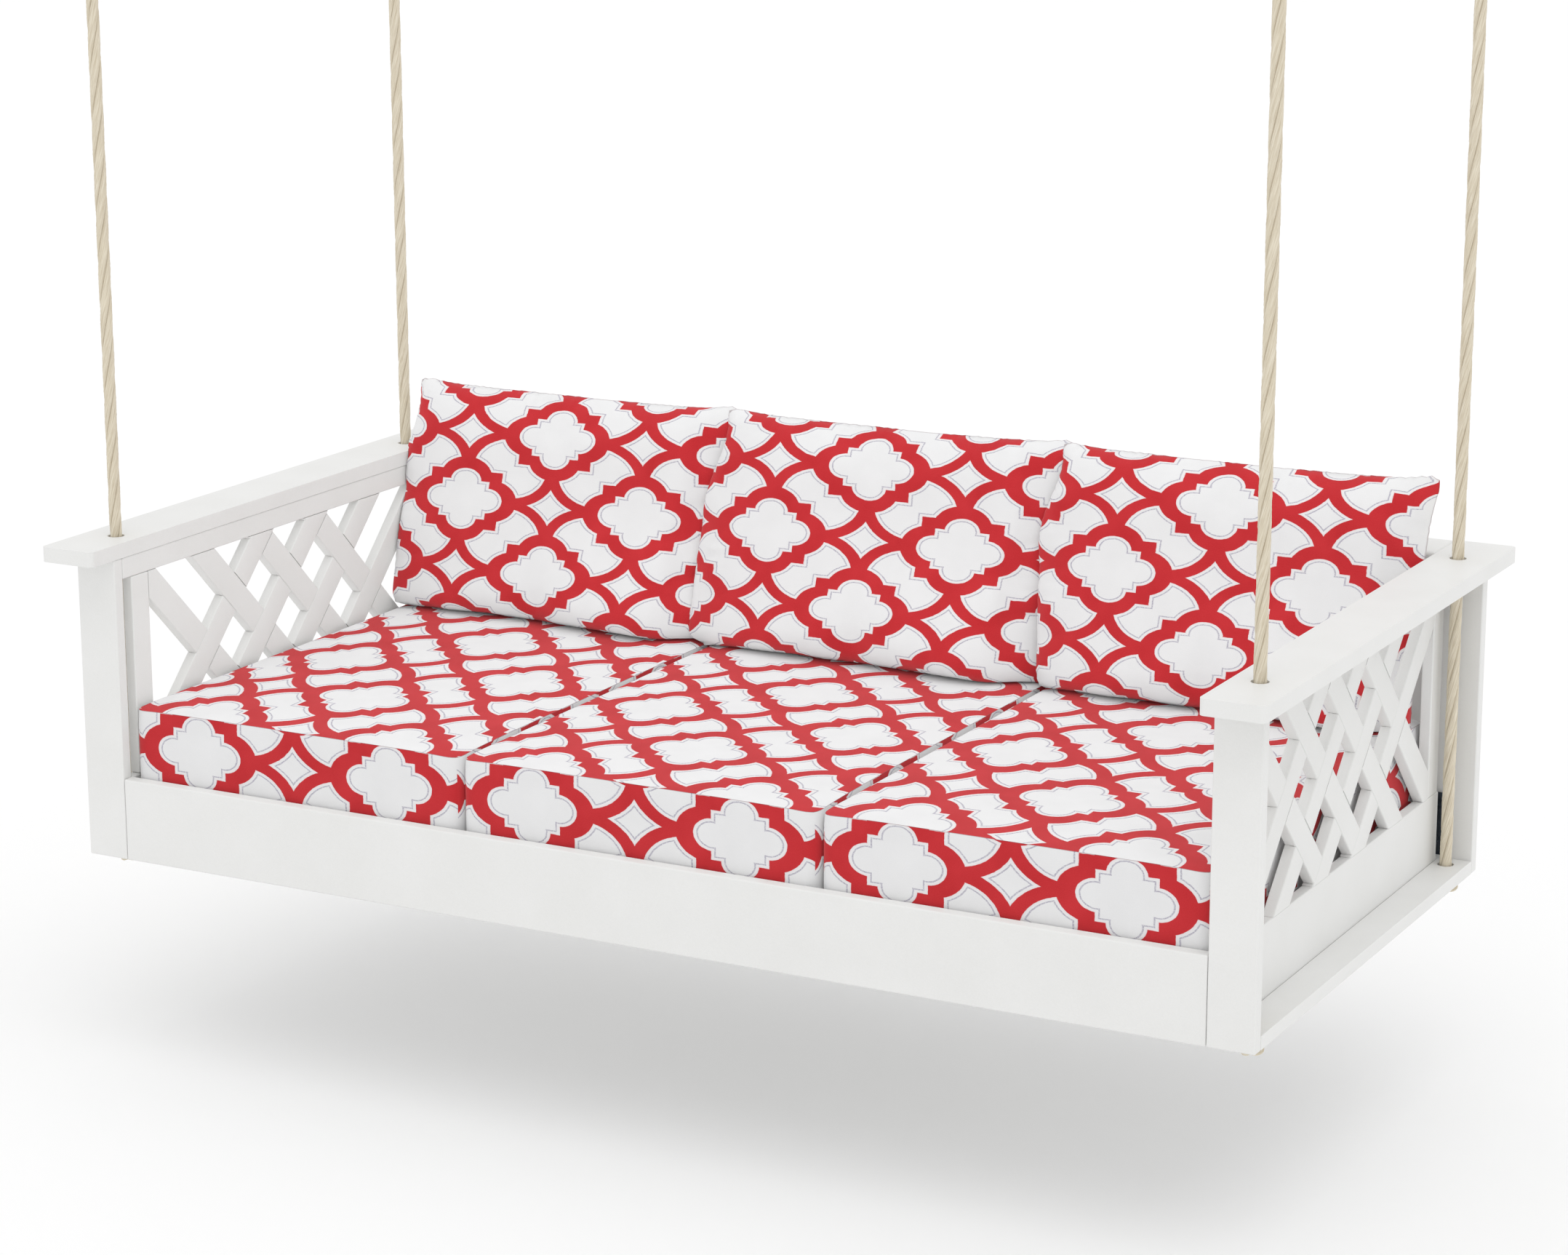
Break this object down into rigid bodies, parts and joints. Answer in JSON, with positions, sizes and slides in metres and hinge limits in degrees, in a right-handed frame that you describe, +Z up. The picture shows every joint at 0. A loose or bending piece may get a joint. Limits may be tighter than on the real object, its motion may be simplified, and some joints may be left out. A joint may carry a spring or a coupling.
{
  "type": "porch swing seat",
  "caption": "Deep porch swing seat of white boards with lattice sides and back, box cushions and loose back pillows, slung from the ceiling on ropes at its corners.",
  "frame": {"origin": "in the ceiling plane, on the top faces of the ceiling plates, midway between them; the foot of the posts is 1.640 m below it", "axes": "+Z up, +X to the right as seen from the front, +Y towards the back"},
  "size_m": [2.13, 1.113, 1.6613],
  "materials": {
    "board": "satin white plastic lumber, faintly grained",
    "rope": "fuzzy three-strand beige rope",
    "zinc": "bright zinc plating",
    "bracket_steel": "dark powder coat",
    "fabric": "woven outdoor canvas printed in red with a white geometric lattice of medallions"
  },
  "bodies": {
    "ceiling": {"ceiling_hook_front_left": "zinc", "ceiling_hook_front_right": "zinc", "ceiling_hook_rear_left": "zinc", "ceiling_hook_rear_right": "zinc"},
    "seat": {"arm_board_left": "board", "front_post_left": "board", "rear_post_left": "board", "side_top_rail_left": "board", "side_bottom_rail_left": "board", "side_stile_front_left": "board", "side_stile_rear_left": "board", "side_lattice_left": "board", "rope_board_left": "board", "arm_board_right": "board", "front_post_right": "board", "rear_post_right": "board", "side_top_rail_right": "board", "side_bottom_rail_right": "board", "side_stile_front_right": "board", "side_stile_rear_right": "board", "side_lattice_right": "board", "rope_board_right": "board", "front_apron": "board", "back_apron": "board", "back_cap": "board", "back_top_rail": "board", "back_stile_left": "board", "back_stile_right": "board", "back_lattice": "board", "seat_slat_1": "board", "seat_slat_2": "board", "seat_slat_3": "board", "seat_slat_4": "board", "seat_slat_5": "board", "seat_slat_6": "board", "seat_bearer_left": "board", "seat_bearer_middle": "board", "seat_bearer_right": "board", "front_bracket_left": "bracket_steel", "front_bracket_right": "bracket_steel", "rear_bracket_left": "bracket_steel", "rear_bracket_right": "bracket_steel", "rope_lower_front_left": "rope", "rope_lower_front_right": "rope", "rope_lower_rear_left": "rope", "rope_lower_rear_right": "rope"},
    "rope_front_left": {"rope_upper_front_left": "rope", "rope_fitting_front_left": "zinc"},
    "rope_front_right": {"rope_upper_front_right": "rope", "rope_fitting_front_right": "zinc"},
    "rope_rear_left": {"rope_upper_rear_left": "rope", "rope_fitting_rear_left": "zinc"},
    "rope_rear_right": {"rope_upper_rear_right": "rope", "rope_fitting_rear_right": "zinc"},
    "seat_pad_left": {"seat_cushion_left": "fabric"},
    "back_pad_left": {"back_cushion_left": "fabric"},
    "seat_pad_middle": {"seat_cushion_middle": "fabric"},
    "back_pad_middle": {"back_cushion_middle": "fabric"},
    "seat_pad_right": {"seat_cushion_right": "fabric"},
    "back_pad_right": {"back_cushion_right": "fabric"}
  },
  "joints": [
    {"name": "swing", "type": "hinge", "parent": "ceiling", "child": "rope_rear_left", "pos_m": [-1.007, 0.4325, -0.038], "axis": [1, 0, 0], "range_deg": [-15, 15]},
    {"name": "seat_level", "type": "hinge", "parent": "rope_rear_left", "child": "seat", "pos_m": [-1.007, 0.4325, -1.112], "axis": [1, 0, 0], "range_deg": [-15, 15]},
    {"name": "swing_rear_right", "type": "hinge", "parent": "ceiling", "child": "rope_rear_right", "pos_m": [1.007, 0.4325, -0.038], "axis": [1, 0, 0], "range_deg": [-15, 15]},
    {"name": "swing_front_left", "type": "hinge", "parent": "ceiling", "child": "rope_front_left", "pos_m": [-1.007, -0.4325, -0.038], "axis": [1, 0, 0], "range_deg": [-15, 15]},
    {"name": "swing_front_right", "type": "hinge", "parent": "ceiling", "child": "rope_front_right", "pos_m": [1.007, -0.4325, -0.038], "axis": [1, 0, 0], "range_deg": [-15, 15]},
    {"name": "lift_seat_cushion_left", "type": "slide", "parent": "seat", "child": "seat_pad_left", "axis": [0, 0, 1], "range_m": [0, 0.3]},
    {"name": "lift_back_cushion_left", "type": "slide", "parent": "seat_pad_left", "child": "back_pad_left", "axis": [0, 0.1564, 0.9877], "range_m": [0, 0.3]},
    {"name": "lift_seat_cushion_middle", "type": "slide", "parent": "seat", "child": "seat_pad_middle", "axis": [0, 0, 1], "range_m": [0, 0.3]},
    {"name": "lift_back_cushion_middle", "type": "slide", "parent": "seat_pad_middle", "child": "back_pad_middle", "axis": [0, 0.1564, 0.9877], "range_m": [0, 0.3]},
    {"name": "lift_seat_cushion_right", "type": "slide", "parent": "seat", "child": "seat_pad_right", "axis": [0, 0, 1], "range_m": [0, 0.3]},
    {"name": "lift_back_cushion_right", "type": "slide", "parent": "seat_pad_right", "child": "back_pad_right", "axis": [0, 0.1564, 0.9877], "range_m": [0, 0.3]}
  ],
  "couplings": [
    {"joint": "seat_level", "follows": "swing", "ratio": -1},
    {"joint": "swing_rear_right", "follows": "swing", "ratio": 1},
    {"joint": "swing_front_left", "follows": "swing", "ratio": 1},
    {"joint": "swing_front_right", "follows": "swing", "ratio": 1}
  ]
}
